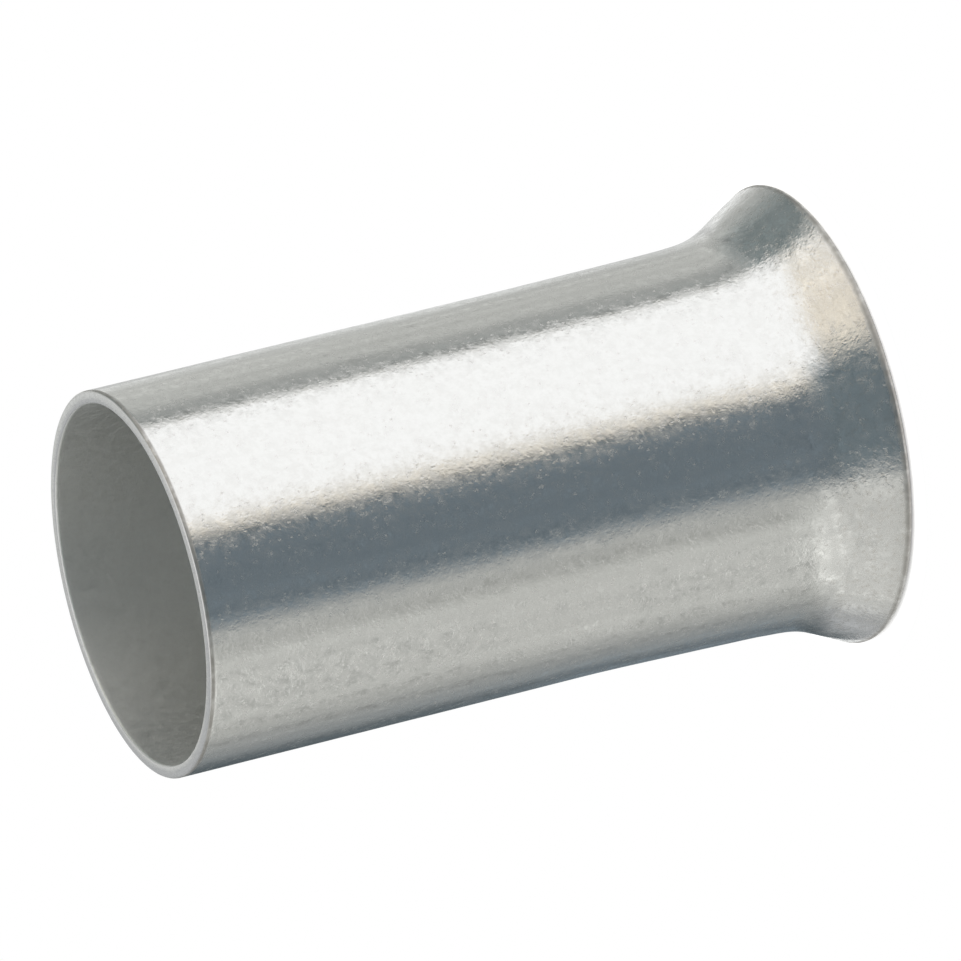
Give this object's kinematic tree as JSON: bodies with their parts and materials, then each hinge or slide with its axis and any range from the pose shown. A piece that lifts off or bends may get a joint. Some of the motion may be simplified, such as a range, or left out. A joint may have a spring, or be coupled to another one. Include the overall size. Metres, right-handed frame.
{
  "type": "wire ferrule",
  "caption": "Plain end sleeve for a stranded wire: a tinned copper tube, cut square at one end and flared at the other.",
  "frame": {"origin": "centre of the circle that the flared mouth stands on", "axes": "+Z along the tube's axis, from the flared mouth up to the cut end; X and Y are free"},
  "size_m": [0.0076, 0.0076, 0.012],
  "materials": {
    "tin": "satin tin plating over copper, fine grained, tumbled"
  },
  "bodies": {
    "root": {"sleeve": "tin"}
  },
  "joints": []
}
